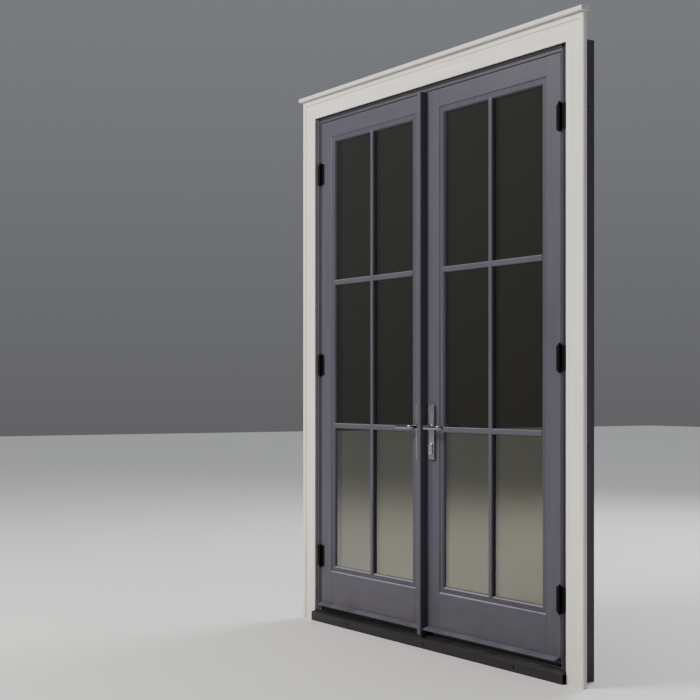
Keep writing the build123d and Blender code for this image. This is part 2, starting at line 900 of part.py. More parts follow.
def lever(passive, inside):
    """Bent flat lever: a neck out of the plate, a grip towards the hinges and a short return."""
    outward = 1 if inside else -1
    seat = inner_plate_face if inside else outer_plate_face
    root = leaf_middle + outward * (hub_length() / 2 + joint_clearance)
    face = leaf_back if inside else leaf_front
    grip_y = face + outward * lever_reach
    x = leaf_lock_x + lever_backset(passive)
    start_y = seat + outward * rose_height
    end_y = grip_y - outward * lever_return
    half = lever_bar_thickness / 2
    far_side = FilletPolyline(
        (x - half, start_y), (x - half, grip_y + outward * half),
        (x + lever_length + half, grip_y + outward * half), (x + lever_length + half, end_y),
        radius=lever_bend + half)
    near_side = FilletPolyline(
        (x + half, start_y), (x + half, grip_y - outward * half),
        (x + lever_length - half, grip_y - outward * half), (x + lever_length - half, end_y),
        radius=lever_bend - half)
    plan = make_face([far_side, near_side, Line(far_side @ 0, near_side @ 0),
                      Line(far_side @ 1, near_side @ 1)])
    low = lever_height - lever_bar_width / 2
    grip = extrude(Pos(0, 0, low) * plan, amount=lever_bar_width, dir=(0, 0, 1))
    rims = grip.faces().sort_by(Axis.Z)
    grip = chamfer(rims[0].edges() + rims[-1].edges(), lever_bar_chamfer)
    neck = rod_y(x, lever_height, lever_neck_radius, face + outward * joint_clearance,
                 seat + outward * rose_height / 2)
    neck += rod_y(x, lever_height, neck_tube_radius, root, seat)
    collar = rod_y(x, lever_height, rose_radius, seat + outward * joint_clearance,
                   seat + outward * (rose_height + 1))
    collar = chamfer(collar.edges().sort_by(Axis.Y)[-1 if inside else 0], bar_chamfer / 2)
    piece = grip + collar + neck
    bore = spindle_side / 2 + joint_clearance / 3
    return piece - block(x - bore, x + bore, root - outward, root + outward * spindle_grip(),
                         lever_height - bore, lever_height + bore)


def hub_length():
    return case_thickness + 2 * joint_clearance


def spindle_grip():
    """How far the spindle goes into each lever's neck."""
    return leaf_thickness / 2 - 3


def spindle(passive):
    """Square spindle with the follower that turns in the lock case."""
    x = leaf_lock_x + lever_backset(passive)
    half = spindle_side / 2
    reach = hub_length() / 2 + spindle_grip() - 1
    bar = block(x - half, x + half, leaf_middle - reach, leaf_middle + reach,
                lever_height - half, lever_height + half)
    inner = case_thickness / 2 - case_wall - joint_clearance
    follower = rod_y(x, lever_height, hub_radius, leaf_middle - inner, leaf_middle + inner)
    arm = block(x - half, x + half, leaf_middle - inner, leaf_middle + inner,
                lever_height, lever_height + hub_radius * 1.8)
    return bar + follower + arm


def cylinder():
    """Profile cylinder with a gap in its middle for the cam and a bore for the plug."""
    x = leaf_lock_x + backset
    y0 = outer_plate_face - collar_thickness - cylinder_proud
    y1 = inner_plate_face + cylinder_proud
    body = cylinder_outline(y0, y1, 0)
    half = cam_width / 2 + joint_clearance
    body -= block(x - cam_reach, x + cam_reach, leaf_middle - half, leaf_middle + half,
                  cylinder_z - cylinder_radius, cylinder_z + cylinder_radius + 1)
    return body - rod_y(x, cylinder_z, plug_radius + pin_clearance, y0 - 1, y1 + 1)


def cylinder_collar():
    """Oval collar round the cylinder on the outer plate."""
    x = leaf_lock_x + backset
    outline = Plane.XZ * SlotOverall(collar_height, collar_width, rotation=90)
    collar = extrude(outline, amount=collar_thickness, dir=(0, -1, 0))
    collar = chamfer(collar.faces().sort_by(Axis.Y)[0].edges(), bar_chamfer / 2)
    middle_z = cylinder_z - (cylinder_drop - cylinder_radius) / 2
    collar = Pos(x, outer_plate_face, middle_z) * collar
    return collar - cylinder_outline(outer_plate_face - big, leaf_front, joint_clearance)


def key_plug():
    """Turning core with the cam in its middle and the key slot outside."""
    x = leaf_lock_x + backset
    y0 = outer_plate_face - collar_thickness - cylinder_proud
    y1 = inner_plate_face + cylinder_proud
    plug = rod_y(x, cylinder_z, plug_radius, y0, y1 + joint_clearance)
    half = cam_width / 2
    plug += rod_y(x, cylinder_z, cylinder_radius - 1, leaf_middle - half, leaf_middle + half)
    plug += block(x - half, x + half, leaf_middle - half, leaf_middle + half,
                  cylinder_z, cylinder_z + cam_reach)
    return plug - block(x - key_slot_width / 2, x + key_slot_width / 2, y0 - 1, y0 + key_slot_depth,
                        cylinder_z - key_slot_height / 2, cylinder_z + key_slot_height / 2)


def thumb_turn():
    """Flat oval knob on the room side of the cylinder."""
    x = leaf_lock_x + backset
    y0 = inner_plate_face + cylinder_proud + joint_clearance
    stem_end = y0 + turn_height / 3
    stem = rod_y(x, cylinder_z, plug_radius, y0, stem_end)
    blade = Plane.XZ * SlotOverall(turn_width, turn_height / 2, rotation=90)
    blade = Pos(x, stem_end, cylinder_z) * extrude(blade, amount=turn_length, dir=(0, 1, 0))
    return stem + blade


def pocket_cut(shape):
    """Room in the left leaf's edge for the right leaf's latch and deadbolt when they are thrown."""
    reach = leaf_lock_x + max(deadbolt_throw, latch_throw)
    for z, height in ((latch_z, latch_height), (deadbolt_z, deadbolt_height)):
        half = height / 2 + strike_pocket_clearance / 2
        shape -= edge_box(-1, reach, latch_width + strike_pocket_clearance, z - half, z + half)
    return shape


# Every node and the piece it holds

def leaf_nodes(side):
    """The nodes that both leaves have, made for the right leaf."""
    passive = side == "left"
    beads = outer_beads()
    bars = outer_bars(beads)
    lock_end = astragal_width + 2 * astragal_side_clearance if passive else leaf_lock_x
    stile = lock_stile(passive)
    if passive:
        stile = pocket_cut(stile)
    return {
        "hinge_stile": hinge_stile(),
        "lock_stile": stile,
        "top_rail": rail(light_z1, leaf_top),
        "bottom_rail": rail(leaf_foot, light_z0),
        "glazing_beads": solids(*beads, *[to_inside(b) for b in beads]),
        "glazing_bars": solids(*bars, *[to_inside(b) for b in bars]),
        "glass_panes": solids(outer_pane(), inner_pane()),
        "glass_spacer": spacer(),
        "setting_blocks": setting_blocks(),
        "drip_ledge": drip_ledge(lock_end),
        "sweep_seal": sweep_seal(),
        "hinge_leaves": leaf_hinges(),
        "faceplate": faceplate(),
        "lock_case": lock_case(passive),
        "top_rod": top_rod(passive),
        "bottom_rod": bottom_rod(passive),
        "lock_plates": solids(furniture_plate(passive, False), furniture_plate(passive, True)),
        "plate_screws": plate_screws(passive),
        "levers": solids(lever(passive, False), lever(passive, True)),
        "spindle": spindle(passive),
    }


def frame_nodes():
    side = side_jamb()
    pins = hinge_pins()
    halves = frame_hinges()
    return {
        "right_jamb": side,
        "left_jamb": mirrored(side),
        "head_jamb": head_jamb(),
        "sill": sill(),
        "sill_cap": sill_cap(),
        "frame_seals": solids(frame_seals(), sill_seal()),
        "casing_boards": solids(side_casing(), mirrored(side_casing()), head_casing()),
        "back_bands": solids(side_band(), mirrored(side_band()), head_band()),
        "drip_cap": drip_cap(),
        "frame_hinge_leaves": solids(halves, mirrored(halves)),
        "hinge_pins": solids(pins, mirrored(pins)),
        "head_keepers": head_keepers(),
    }


def write(name, shape):
    export_step(shape, os.path.join("parts", name + ".step"))


def main():
    os.makedirs("parts", exist_ok=True)
    for name, shape in frame_nodes().items():
        write(name, shape)
    for name, shape in leaf_nodes("right").items():
        write("right_" + name, shape)
    for name, shape in leaf_nodes("left").items():
        write("left_" + name, mirrored(shape))
    write("astragal", astragal())
    write("meeting_seal", meeting_seal())
    write("latch_bolt", latch_bolt())
    write("deadbolt", deadbolt())
    write("lock_cylinder", cylinder())
    write("cylinder_collar", cylinder_collar())
    write("key_plug", key_plug())
    write("thumb_turn", thumb_turn())


main()
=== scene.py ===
import json
import math
import bmesh
import bpy
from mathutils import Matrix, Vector


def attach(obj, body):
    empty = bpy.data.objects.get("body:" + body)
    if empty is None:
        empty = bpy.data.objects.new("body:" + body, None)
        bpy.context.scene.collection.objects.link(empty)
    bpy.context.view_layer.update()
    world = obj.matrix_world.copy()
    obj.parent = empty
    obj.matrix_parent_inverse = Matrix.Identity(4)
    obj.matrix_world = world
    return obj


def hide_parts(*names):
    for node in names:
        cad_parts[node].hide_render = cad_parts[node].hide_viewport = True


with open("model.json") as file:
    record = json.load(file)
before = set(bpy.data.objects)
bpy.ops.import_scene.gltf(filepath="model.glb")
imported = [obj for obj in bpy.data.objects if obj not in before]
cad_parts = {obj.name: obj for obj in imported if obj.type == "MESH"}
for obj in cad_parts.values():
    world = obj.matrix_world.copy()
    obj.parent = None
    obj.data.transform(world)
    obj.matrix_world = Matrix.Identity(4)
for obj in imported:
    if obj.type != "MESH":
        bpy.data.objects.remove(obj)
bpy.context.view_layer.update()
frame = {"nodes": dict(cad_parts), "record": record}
nodes = frame["nodes"]
slots = {p["node"]: p["material_slot"] for p in frame["record"]["subparts"]}

MM = 0.001

# Sizes that the small pieces share with the source, in millimetres
JAMB_X, STOP_X, LEAF_EDGE_X, MEETING_X = 891.0, 878.0, 887.0, 2.0
HEAD_UNDER, CASING_X, CASING_Z, FRAME_FOOT = 2414.0, 933.0, 2442.0, 60.0
HINGE_HEIGHTS = (316.0, 1240.0, 2164.0)
HINGE_HOLES = ((27.0, -38.0), (13.0, -13.0), (27.0, 13.0), (13.0, 38.0))
JAMB_WING_X, LEAF_WING_X = (896.5, 922.0), (863.0, 881.5)
FIXING_HEIGHTS, FIXING_Y = (250.0, 900.0, 1550.0, 2200.0), 88.0
FACEPLATE_HOLES = (110.0, 480.0, 830.0, 1060.0, 1500.0, 1900.0, 2370.0)
ROD_X, KEEPER_PITCH = 25.5, 26.0
LEAF_FRONT_Y, LEAF_MIDDLE_Y, LEAF_BACK_Y = 0.0, 22.0, 44.0
GLASS_FRONT_Y, GLASS_BACK_Y = 12.0, 32.0
LITE_X, LITE_Z, BAR = (119.0, 770.0), (276.0, 2306.0), 24.0
LEVER_Z, ACTIVE_LEVER_X, PASSIVE_LEVER_X = 958.0, 47.0, 52.0
PLATE_OUTER, PLATE_INNER, CYLINDER_Z = 13.0, 9.0, 865.0
SIDES = (("right", 1), ("left", -1))

# Sockets of the Mix node, by number because their names repeat
COLOUR_A, COLOUR_B, COLOUR_OUT = 6, 7, 2
FLOAT_A, FLOAT_B = 2, 3


# Materials

def new_material(name):
    """A material with its node tree and its shader."""
    made = bpy.data.materials.new(name)
    made.use_nodes = True
    return made, made.node_tree, made.node_tree.nodes["Principled BSDF"]


def add(tree, kind, inputs=None, **settings):
    """A node with its settings, and each named input set or linked."""
    node = tree.nodes.new(kind)
    for key, value in settings.items():
        setattr(node, key, value)
    for key, value in (inputs or {}).items():
        if isinstance(value, bpy.types.NodeSocket):
            tree.links.new(value, node.inputs[key])
        else:
            node.inputs[key].default_value = value
    return node


def stretched(tree, scale):
    """Object coordinates scaled on each axis."""
    where = add(tree, "ShaderNodeTexCoord")
    return add(tree, "ShaderNodeMapping", {"Vector": where.outputs["Object"], "Scale": scale}).outputs[0]


def noise(tree, scale, detail=5.0):
    """A field of noise in object coordinates, scaled on each axis."""
    field = add(tree, "ShaderNodeTexNoise", {"Vector": stretched(tree, scale), "Scale": 1.0,
                                            "Detail": detail, "Roughness": 0.55})
    return field.outputs["Fac"]


def spread(tree, value, low, high, start=0.3, end=0.7):
    """A value carried from start..end to low..high."""
    made = add(tree, "ShaderNodeMapRange", {"Value": value, "From Min": start, "From Max": end,
                                           "To Min": low, "To Max": high})
    return made.outputs["Result"]


def blend(tree, factor, first, second):
    """From the first colour at 0 to the second at 1."""
    node = add(tree, "ShaderNodeMix", {"Factor": factor}, data_type="RGBA")
    for index, value in ((COLOUR_A, first), (COLOUR_B, second)):
        if isinstance(value, bpy.types.NodeSocket):
            tree.links.new(value, node.inputs[index])
        else:
            node.inputs[index].default_value = (*value, 1.0)
    return node.outputs[COLOUR_OUT]


def times(tree, first, second):
    return add(tree, "ShaderNodeMath", {0: first, 1: second}, operation="MULTIPLY").outputs[0]


def shade(colour, share):
    """A colour made darker or lighter."""
    return tuple(v * share for v in colour)


def edge_mask(tree, radius, reach):
    """Nearly 1 along the edges of a piece and 0 on its flats, broken up by a noise."""
    rounded = add(tree, "ShaderNodeBevel", {"Radius": radius}, samples=6)
    flat = add(tree, "ShaderNodeNewGeometry")
    dot = add(tree, "ShaderNodeVectorMath", {0: rounded.outputs[0], 1: flat.outputs["Normal"]},
              operation="DOT_PRODUCT")
    mask = spread(tree, dot.outputs["Value"], 1.0, 0.0, 1.0 - reach, 1.0)
    return times(tree, mask, spread(tree, noise(tree, (40, 40, 40)), 0.0, 1.0, 0.42, 0.62))


def height_in(tree):
    """Height above the floor at rest, in metres."""
    where = add(tree, "ShaderNodeTexCoord")
    return add(tree, "ShaderNodeSeparateXYZ", {0: where.outputs["Object"]}).outputs["Z"]


# Darker towards the floor: dust, and on the slate paint a painted reflection of the deck
def foot_dust_and_deck_light(tree, top):
    """1 at the floor, fading out at top, in metres, broken up by a noise."""
    fade = spread(tree, height_in(tree), 1.0, 0.0, 0.0, top)
    return times(tree, fade, spread(tree, noise(tree, (9, 9, 14), detail=7.0), 0.35, 0.9))


def ledge_dust_and_sky_light(tree, share):
    """Share of pale dust and painted sky light on faces looking upwards, broken up by a noise."""
    normal = add(tree, "ShaderNodeNewGeometry").outputs["Normal"]
    upward = add(tree, "ShaderNodeSeparateXYZ", {0: normal}).outputs["Z"]
    return times(tree, spread(tree, upward, 0.0, share, 0.35, 0.6),
                 spread(tree, noise(tree, (14, 14, 14)), 0.75, 1.0))


def bumps(tree, shader, layers):
    """Adds height layers, each a value and how far it stands in metres, to the shader's normal."""
    normal = None
    for value, distance in layers:
        inputs = {"Height": value, "Distance": distance, "Strength": 0.8}
        if normal is not None:
            inputs["Normal"] = normal
        normal = add(tree, "ShaderNodeBump", inputs).outputs[0]
    tree.links.new(normal, shader.inputs["Normal"])


def along_axis(tree, axis, size, detail):
    """A noise drawn out along an axis."""
    scale = [size] * 3
    scale["XYZ".index(axis)] = size * 0.03
    return noise(tree, scale, detail=detail)


def along_boards(tree, axis, level_above, size, detail):
    """A noise drawn out along an axis, and along X above a height where the boards lie level."""
    first = along_axis(tree, axis, size, detail)
    if level_above is None:
        return first
    above = add(tree, "ShaderNodeMath", {0: height_in(tree), 1: level_above},
                operation="GREATER_THAN").outputs[0]
    level = along_axis(tree, "X", size, detail)
    node = add(tree, "ShaderNodeMix", {0: above, FLOAT_A: first, FLOAT_B: level}, data_type="FLOAT")
    return node.outputs[0]


def paint(name, colour, axis, worn, foot_tone, rough=(0.36, 0.5), foot_tone_top=0.5, grain=0.00022,
          level_above=None, ledges=0.8, gloss=0.3):
    """Brushed paint on wood: marks and raised grain along an axis, worn edges, a darker tone low down that
    is dust and a painted reflection of the deck, and pale dust with painted sky light on ledges.
    """
    made, tree, shader = new_material(name)
    strokes = along_boards(tree, axis, level_above, 70.0, 6.0)
    fibre = along_boards(tree, axis, level_above, 300.0, 3.0)
    cloud = noise(tree, (2.3, 2.3, 2.3), detail=3.0)
    peel = noise(tree, (650, 650, 650), detail=1.0)
    tone = blend(tree, spread(tree, strokes, 0.0, 1.0), shade(colour, 0.87), shade(colour, 1.13))
    tone = blend(tree, spread(tree, cloud, 0.0, 0.45), tone, colour)
    tone = blend(tree, times(tree, edge_mask(tree, 0.0016, 0.12), 0.55), tone, worn)
    # Pale dust and painted sky light on faces looking upwards
    tone = blend(tree, ledge_dust_and_sky_light(tree, ledges), tone, LEDGE_DUST_AND_SKY_LIGHT)
    # Towards the floor: dust, and on the slate paint a painted reflection of the deck
    tone = blend(tree, foot_dust_and_deck_light(tree, foot_tone_top), tone, foot_tone)
    tree.links.new(tone, shader.inputs["Base Color"])
    tree.links.new(spread(tree, cloud, *rough), shader.inputs["Roughness"])
    shader.inputs["Specular IOR Level"].default_value = gloss
    bumps(tree, shader, [(strokes, grain), (fibre, grain * 0.5), (peel, 0.00004)])
    return made


def metal(name, colour, rough, brushed=None, worn=None, metallic=1.0, peel=0.0, gloss=0.5):
    """Metal or coated metal, with brushing, handling marks and edges worn to another colour."""
    made, tree, shader = new_material(name)
    smudge = noise(tree, (38, 38, 38), detail=6.0)
    tone = blend(tree, spread(tree, smudge, 0.0, 1.0), shade(colour, 0.88), colour)
    if worn:
        tone = blend(tree, edge_mask(tree, 0.0011, 0.15), tone, worn)
    tree.links.new(tone, shader.inputs["Base Color"])
    tree.links.new(spread(tree, smudge, *rough), shader.inputs["Roughness"])
    shader.inputs["Metallic"].default_value = metallic
    shader.inputs["Specular IOR Level"].default_value = gloss
    layers = [(smudge, 0.00003)]
    if brushed:
        layers.append((noise(tree, brushed, detail=4.0), 0.00005))
    if peel:
        layers.append((noise(tree, (900, 900, 900), detail=2.0), peel))
    bumps(tree, shader, layers)
    return made


def rubber(name, colour):
    """Dull black seal with a pale bloom."""
    made, tree, shader = new_material(name)
    bloom = noise(tree, (24, 24, 24), detail=7.0)
    tone = blend(tree, spread(tree, bloom, 0.0, 0.5), colour, shade(colour, 2.2))
    tree.links.new(tone, shader.inputs["Base Color"])
    tree.links.new(spread(tree, bloom, 0.55, 0.8), shader.inputs["Roughness"])
    shader.inputs["Specular IOR Level"].default_value = 0.2
    bumps(tree, shader, [(bloom, 0.00008), (noise(tree, (700, 700, 700)), 0.00003)])
    return made


def glass(name, tint_and_reflection):
    """Clear pane with a dark olive tint that also paints in the garden's dark reflections, and a light
    film that varies its gloss.
    """
    made, tree, shader = new_material(name)
    film = noise(tree, (3.0, 3.0, 1.6), detail=5.0)
    tone = blend(tree, spread(tree, film, 0.0, 1.0), tint_and_reflection, shade(tint_and_reflection, 0.94))
    tree.links.new(tone, shader.inputs["Base Color"])
    tree.links.new(spread(tree, film, 0.0, 0.03), shader.inputs["Roughness"])
    shader.inputs["Transmission Weight"].default_value = 1.0
    shader.inputs["IOR"].default_value = 1.5
    shader.inputs["Coat Weight"].default_value = 1.0
    shader.inputs["Coat Roughness"].default_value = 0.0
    bumps(tree, shader, [(noise(tree, (1.2, 1.2, 0.8), detail=1.0), 0.0006)])
    return made


SLATE = (0.059, 0.058, 0.076)
SLATE_WORN = (0.13, 0.13, 0.16)
# Darker, redder slate towards the floor: dust, and a painted reflection of the deck
DUST_AND_DECK_LIGHT = (0.036, 0.027, 0.038)
# Pale bluish colour of faces looking upwards: dust, and painted sky light
LEDGE_DUST_AND_SKY_LIGHT = (0.34, 0.33, 0.385)
WHITE = (0.66, 0.63, 0.585)
WHITE_WORN = (0.74, 0.71, 0.66)
WHITE_DUST = (0.53, 0.5, 0.45)
FINE_GRAIN = 0.0001

leaf_paint = {a: paint("leaf_paint_" + a.lower(), SLATE, a, SLATE_WORN, DUST_AND_DECK_LIGHT) for a in "XZ"}
bead_paint = paint("bead_paint", shade(SLATE, 0.98), "Z", SLATE_WORN, DUST_AND_DECK_LIGHT, grain=FINE_GRAIN, gloss=0.14)
bar_paint = paint("bar_paint", SLATE, "Z", SLATE_WORN, DUST_AND_DECK_LIGHT, grain=FINE_GRAIN, ledges=0.25)
ledge_paint = paint("ledge_paint", SLATE, "X", SLATE_WORN, DUST_AND_DECK_LIGHT, ledges=0.22)
frame_paint = {a: paint("frame_paint_" + a.lower(), shade(SLATE, 0.92), a, SLATE_WORN, DUST_AND_DECK_LIGHT) for a in "XZ"}
casing_paint = paint("casing_paint", WHITE, "Z", WHITE_WORN, WHITE_DUST, rough=(0.42, 0.58),
                     foot_tone_top=0.4, grain=0.0003, level_above=CASING_Z * MM, ledges=0.0)
by_slot = {
    "bead_paint": bead_paint,
    "casing_paint": casing_paint,
    "drip_cap_paint": metal("drip_cap_paint", (0.62, 0.6, 0.56), (0.36, 0.5), metallic=0.0, peel=0.00004),
    "sill_metal": metal("sill_metal", (0.045, 0.041, 0.046), (0.34, 0.5), brushed=(1.5, 420, 420),
                        worn=(0.2, 0.18, 0.165)),
    "sill_cap_paint": paint("sill_cap_paint", shade(SLATE, 0.85), "X", SLATE_WORN, DUST_AND_DECK_LIGHT, ledges=0.3),
    # Dark olive colour of the glass: partly its tint, partly a painted reflection of the garden
    "clear_glass": glass("clear_glass", (0.29, 0.275, 0.2)),
    "spacer_metal": metal("spacer_metal", (0.035, 0.035, 0.038), (0.4, 0.55), metallic=0.4),
    "seal_rubber": rubber("seal_rubber", (0.011, 0.011, 0.012)),
    "hinge_black": metal("hinge_black", (0.004, 0.004, 0.005), (0.55, 0.7), worn=(0.02, 0.02, 0.02),
                         metallic=0.0, peel=0.00006, gloss=0.06),
    "lock_steel": metal("lock_steel", (0.55, 0.55, 0.56), (0.26, 0.42), brushed=(400, 400, 3)),
    "lock_furniture": metal("lock_furniture", (0.37, 0.37, 0.4), (0.26, 0.4), brushed=(380, 380, 4),
                            worn=(0.58, 0.58, 0.59)),
    # The levers are darker than the plates: painted shade for the dark surroundings that they reflect
    "lever_metal": metal("lever_metal", (0.27, 0.27, 0.29), (0.14, 0.26), brushed=(4, 380, 380)),
    "cylinder_metal": metal("cylinder_metal", (0.56, 0.53, 0.45), (0.2, 0.34), brushed=(380, 3, 380)),
}

# Boards that lie level have their grain along X
LEVEL_NODES = ("top_rail", "bottom_rail", "head_jamb")
for name, piece in nodes.items():
    slot = slots[name]
    axis = "X" if name.endswith(LEVEL_NODES) else "Z"
    chosen = {"leaf_paint": leaf_paint, "frame_paint": frame_paint}.get(slot)
    chosen = chosen[axis] if chosen else by_slot[slot]
    if name.endswith("drip_ledge"):
        chosen = ledge_paint
    if not piece.material_slots:
        piece.data.materials.append(chosen)
    for place in piece.material_slots:
        place.material = chosen


# Edges of the wooden, pressed and cast pieces, eased as paint and casting leave them, in metres

EASED_ON_LEAF = {
    "hinge_stile": 0.0012, "lock_stile": 0.0012, "top_rail": 0.0012, "bottom_rail": 0.0012,
    "glazing_beads": 0.0007, "drip_ledge": 0.0015, "lock_plates": 0.0006,
}
EASED_ON_FRAME = {
    "casing_boards": 0.0016, "back_bands": 0.0012, "drip_cap": 0.001, "astragal": 0.0012,
    "right_jamb": 0.0012, "left_jamb": 0.0012, "head_jamb": 0.0012, "sill": 0.001, "sill_cap": 0.0012,
}
BORED = ("right_jamb", "left_jamb")


def ease(piece, width):
    """Rounds a piece's edges. In a bored piece the long slivers between the bores are merged first."""
    weld = piece.modifiers.new("weld", "WELD")
    weld.merge_threshold = 0.00001
    if piece.name in BORED:
        flats = piece.modifiers.new("whole_flats", "DECIMATE")
        flats.decimate_type = "DISSOLVE"
        flats.angle_limit = math.radians(0.5)
    bevel = piece.modifiers.new("eased_edges", "BEVEL")
    bevel.width = width
    bevel.segments = 2
    bevel.limit_method = "ANGLE"
    bevel.angle_limit = math.radians(32)
    bevel.use_clamp_overlap = True
    bevel.harden_normals = True


for side, _ in SIDES:
    for part, width in EASED_ON_LEAF.items():
        ease(nodes[f"{side}_{part}"], width)
for name, width in EASED_ON_FRAME.items():
    ease(nodes[name], width)


# Small pieces that the source leaves to the scene

def piece_from(name, build, material, body, smooth=False):
    """A mesh piece filled by build, carried by a body."""
    mesh = bpy.data.meshes.new(name)
    shape = bmesh.new()
    build(shape)
    bmesh.ops.recalc_face_normals(shape, faces=shape.faces)
    for face in shape.faces:
        face.smooth = smooth
    shape.to_mesh(mesh)
    shape.free()
    mesh.materials.append(material)
    made = bpy.data.objects.new(name, mesh)
    bpy.context.scene.collection.objects.link(made)
    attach(made, body)
    return made


def skin(shape, loops):
    """Closes a run of equal loops into a solid, with flat ends."""
    rings = [[shape.verts.new(p) for p in loop] for loop in loops]
    for first, second in zip(rings[:-1], rings[1:]):
        for i in range(len(first)):
            j = (i + 1) % len(first)
            shape.faces.new((first[i], first[j], second[j], second[i]))
    shape.faces.new(rings[0])
    shape.faces.new(rings[-1])


def prism(shape, start, end, section):
    """A bar from start to end; section holds offsets, all in millimetres."""
    skin(shape, [[(Vector(p) + Vector(o)) * MM for o in section] for p in (start, end)])


def full_turn(count):
    """Equal angles round a circle."""
    return [2 * math.pi * i / count for i in range(count)]


def screw_head(shape, at, outward, radius):
    """Crosshead screw head with a chamfered rim, standing on a surface."""
    count, height = 20, 0.5
    out = Vector(outward)
    u = out.orthogonal().normalized()
    v = out.cross(u)
    centre = Vector(at)

    def ring(points, level):
        return [shape.verts.new((centre + u * a + v * b + out * level) * MM) for a, b in points]

    circles = [ring([(math.cos(t) * r, math.sin(t) * r) for t in full_turn(count)], level)
               for r, level in ((radius, -0.3), (radius, height * 0.4), (radius * 0.86, height))]
    arm, half = radius * 0.56, radius * 0.13
    cross = [(arm, half), (half, half), (half, arm), (-half, arm), (-half, half), (-arm, half),
             (-arm, -half), (-half, -half), (-half, -arm), (half, -arm), (half, -half), (arm, -half)]
    rim = ring(cross, height)
    floor = ring([(a * 0.7, b * 0.7) for a, b in cross], height - radius * 0.3)
    for low, high in zip(circles[:-1], circles[1:]):
        for i in range(count):
            j = (i + 1) % count
            shape.faces.new((low[i], low[j], high[j], high[i]))
    for i in range(len(rim)):
        j = (i + 1) % len(rim)
        shape.faces.new((rim[i], rim[j], floor[j], floor[i]))
    shape.faces.new(floor)
    shape.faces.new(circles[0])
    edges = [shape.edges.get((loop[i], loop[(i + 1) % len(loop)]))
             for loop in (circles[-1], rim) for i in range(len(loop))]
    bmesh.ops.triangle_fill(shape, use_beauty=True, edges=edges)


def domed_cap(shape, at, outward, radius, height):
    """Push-in cover cap with a rolled edge."""
    out = Vector(outward)
    u = out.orthogonal().normalized()
    v = out.cross(u)
    loops = []
    for share, level in ((1.0, -0.2), (1.0, 0.35), (0.93, 0.7), (0.7, 0.93), (0.35, 1.0)):
        loops.append([(Vector(at) + (u * math.cos(t) + v * math.sin(t)) * radius * share
                       + out * height * level) * MM for t in full_turn(24)])
    skin(shape, loops)


def hinge_screws(signs, x, facing):
    """Four screws in a plate of each hinge, on the faces at x that look outwards or inwards."""
    def build(shape):
        for sx in signs:
            for z in HINGE_HEIGHTS:
                for y, dz in HINGE_HOLES:
                    screw_head(shape, (sx * x, y, z + dz), (sx * facing, 0, 0), 3.6)
    return build


piece_from("frame_hinge_screws", hinge_screws((1, -1), JAMB_X, -1), by_slot["hinge_black"], "frame")
for side, sx in SIDES:
    piece_from(side + "_leaf_hinge_screws", hinge_screws((sx,), LEAF_EDGE_X, 1), by_slot["hinge_black"],
               side + "_leaf")


def faceplate_screws(sx):
    """Screws along the faceplate in a leaf's meeting edge."""
    def build(shape):
        for z in FACEPLATE_HOLES:
            screw_head(shape, (sx * MEETING_X, LEAF_MIDDLE_Y, z), (-sx, 0, 0), 3.2)
    return build


def keeper_screws(shape):
    """Two screws in each keeper under the head."""
    for sx in (1, -1):
        for step in (-KEEPER_PITCH / 2, KEEPER_PITCH / 2):
            screw_head(shape, (sx * ROD_X + step, LEAF_MIDDLE_Y, HEAD_UNDER), (0, 0, -1), 3.0)


def fixing_caps(shape):
    """Caps over the fixing holes in the jambs' stops."""
    for sx in (1, -1):
        for z in FIXING_HEIGHTS:
            domed_cap(shape, (sx * STOP_X, FIXING_Y, z), (-sx, 0, 0), 7.0, 2.0)


for side, sx in SIDES:
    piece_from(side + "_faceplate_screws", faceplate_screws(sx), by_slot["lock_steel"],
               side + "_leaf")
piece_from("keeper_screws", keeper_screws, by_slot["lock_steel"], "frame")
piece_from("fixing_caps", fixing_caps, frame_paint["Z"], "frame")


def lite_boxes():
    """The clear glass of each lite as x0, x1, z0, z1 on the right leaf."""
    width = (LITE_X[1] - LITE_X[0] - BAR) / 2
    height = (LITE_Z[1] - LITE_Z[0] - 2 * BAR) / 3
    for column in range(2):
        for row in range(3):
            x0 = LITE_X[0] + column * (width + BAR)
            z0 = LITE_Z[0] + row * (height + BAR)
            yield x0, x0 + width, z0, z0 + height


def lite_seal_and_shade(sx):
    """Wedge of sealant round each lite, outside and inside, wider on the uprights, where the extra width
    is painted shade on the beads' inner sides.
    """
    leg, upright_shade_leg = 1.8, 3.6

    def build(shape):
        for x0, x1, z0, z1 in lite_boxes():
            for y, out in ((GLASS_FRONT_Y, -leg), (GLASS_BACK_Y, leg)):
                # On the uprights the wider wedge paints the shade on the bead's inner side
                for x, inward in ((x0, upright_shade_leg), (x1, -upright_shade_leg)):
                    prism(shape, (sx * x, y, z0), (sx * x, y, z1),
                          [(0, 0, 0), (sx * inward, 0, 0), (0, out, 0)])
                for z, inward in ((z0, leg), (z1, -leg)):
                    prism(shape, (sx * x0, y, z), (sx * x1, y, z),
                          [(0, 0, 0), (0, 0, inward), (0, out, 0)])
    return build


for side, sx in SIDES:
    piece_from(side + "_lite_seal_and_shade", lite_seal_and_shade(sx), by_slot["seal_rubber"], side + "_leaf")


# The bar's section, as depths below its face: chamfer, top and foot of the bead's slope, glass
BAR_CHAMFER, SLOPE_TOP, SLOPE_FOOT, BAR_DEPTH = 3, 4, 10, 12
BEAD_SLOPE, END_OVERLAP = 5.0, 0.2


def onto_bead(depth):
    """How far a bar's end reaches over the bead it dies into, at a depth below its face."""
    if depth <= SLOPE_TOP:
        return END_OVERLAP + BEAD_SLOPE * depth / SLOPE_TOP
    past_top = (depth - SLOPE_TOP) / (SLOPE_FOOT - SLOPE_TOP)
    return END_OVERLAP + BEAD_SLOPE * max(0.0, 1.0 - past_top)


def onto_bar(depth):
    """How far a cross bar's end reaches over the chamfer of the upright bar."""
    return max(0.0, BAR_CHAMFER - depth)


